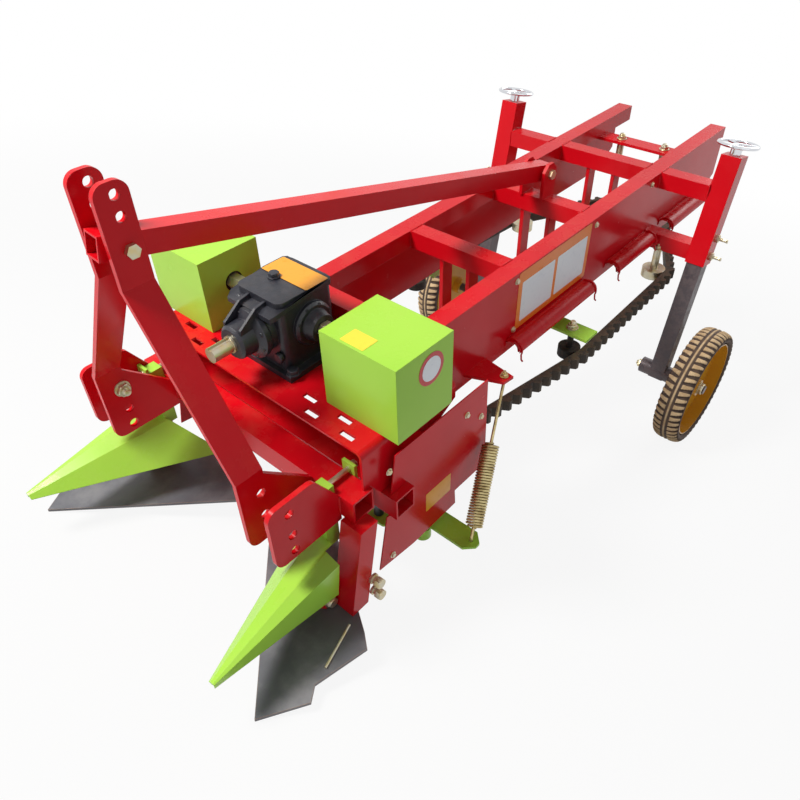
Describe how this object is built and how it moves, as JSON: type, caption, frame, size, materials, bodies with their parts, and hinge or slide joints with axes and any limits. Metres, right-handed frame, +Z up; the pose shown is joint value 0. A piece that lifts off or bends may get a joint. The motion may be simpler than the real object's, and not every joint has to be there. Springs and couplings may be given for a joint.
{
  "type": "peanut harvester",
  "caption": "Tractor-mounted peanut harvester: digging shares under a hitch frame, a gearbox, a pair of toothed gripping chains in a sloping rail frame and screw-adjusted wheel legs.",
  "frame": {"origin": "on the ground, under the middle of the machine's plan", "axes": "+Z up, +Y to the rear of the machine, +X to its left as seen when it drives forward, the hitch facing -Y"},
  "size_m": [1.123, 2.2573, 0.9823],
  "materials": {
    "red_paint": "glossy bright red enamel on welded steel",
    "green_paint": "glossy yellow-green enamel on sheet steel",
    "black_casting": "semi-gloss black paint on a rough casting",
    "zinc_steel": "zinc-plated or bright turned steel",
    "share_steel": "dark rolled steel with worn light edges",
    "leg_steel": "bare grey drawn tube",
    "chain_rubber": "dusty black moulded rubber",
    "tyre_rubber": "ribbed rubber with dried soil on the tread",
    "rim_paint": "glossy orange-yellow enamel",
    "chrome": "bright chrome plating"
  },
  "bodies": {
    "frame": {"cross_tube_1": "red_paint", "cross_tube_2": "red_paint", "cross_tube_3": "red_paint", "cross_tube_4": "red_paint", "deck_plate": "red_paint", "front_beam": "red_paint", "gearbox": "black_casting", "left_chain_drive": "black_casting", "left_chain_guide": "red_paint", "left_chain_loop": "chain_rubber", "left_divider": "green_paint", "left_drive_cover": "green_paint", "left_handwheel": "chrome", "left_hitch_plate": "red_paint", "left_idler_bracket": "green_paint", "left_leg_sleeve": "red_paint", "left_lower_bracket": "red_paint", "left_mast": "red_paint", "left_outrigger": "red_paint", "left_rail": "red_paint", "left_rear_sprocket": "zinc_steel", "left_shank": "red_paint", "left_share": "share_steel", "left_shield": "red_paint", "left_side_panel": "red_paint", "left_side_roller": "zinc_steel", "rear_bearing_bar": "red_paint", "right_chain_drive": "black_casting", "right_chain_guide": "red_paint", "right_chain_loop": "chain_rubber", "right_divider": "green_paint", "right_drive_cover": "green_paint", "right_handwheel": "chrome", "right_hitch_plate": "red_paint", "right_idler_bracket": "green_paint", "right_leg_sleeve": "red_paint", "right_lower_bracket": "red_paint", "right_mast": "red_paint", "right_outrigger": "red_paint", "right_rail": "red_paint", "right_rear_sprocket": "zinc_steel", "right_shank": "red_paint", "right_share": "share_steel", "right_shield": "red_paint", "right_side_panel": "red_paint", "right_side_roller": "zinc_steel", "second_beam": "red_paint", "strut_front_bolt": "zinc_steel", "strut_rear_bolt": "zinc_steel", "tension_arm": "green_paint", "tension_spring": "zinc_steel", "top_strut": "red_paint"},
    "left_leg": {"left_leg_tube": "leg_steel"},
    "left_wheel": {"left_tyre": "tyre_rubber", "left_rim": "rim_paint"},
    "right_leg": {"right_leg_tube": "leg_steel"},
    "right_wheel": {"right_tyre": "tyre_rubber", "right_rim": "rim_paint"},
    "input": {"input_shaft": "zinc_steel"},
    "cross": {"cross_shaft": "zinc_steel"}
  },
  "joints": [
    {"name": "left_leg_slide", "type": "slide", "parent": "frame", "child": "left_leg", "axis": [0, -0.0016, 1], "range_m": [-0.15, 0.035]},
    {"name": "left_wheel_spin", "type": "hinge", "parent": "left_leg", "child": "left_wheel", "pos_m": [0.5175, 0.65469, 0.202], "axis": [1, 0, 0], "continuous": true},
    {"name": "right_leg_slide", "type": "slide", "parent": "frame", "child": "right_leg", "axis": [0, -0.0016, 1], "range_m": [-0.15, 0.035]},
    {"name": "right_wheel_spin", "type": "hinge", "parent": "right_leg", "child": "right_wheel", "pos_m": [-0.4965, 0.65469, 0.202], "axis": [1, 0, 0], "continuous": true},
    {"name": "input_spin", "type": "hinge", "parent": "frame", "child": "input", "pos_m": [-0.0765, -0.76372, 0.59209], "axis": [0, 0.9813, 0.1924], "continuous": true},
    {"name": "cross_spin", "type": "hinge", "parent": "frame", "child": "cross", "pos_m": [-0.0765, -0.62633, 0.61903], "axis": [1, 0, 0], "continuous": true}
  ],
  "couplings": [
    {"joint": "input_spin", "follows": "cross_spin", "ratio": 1}
  ]
}
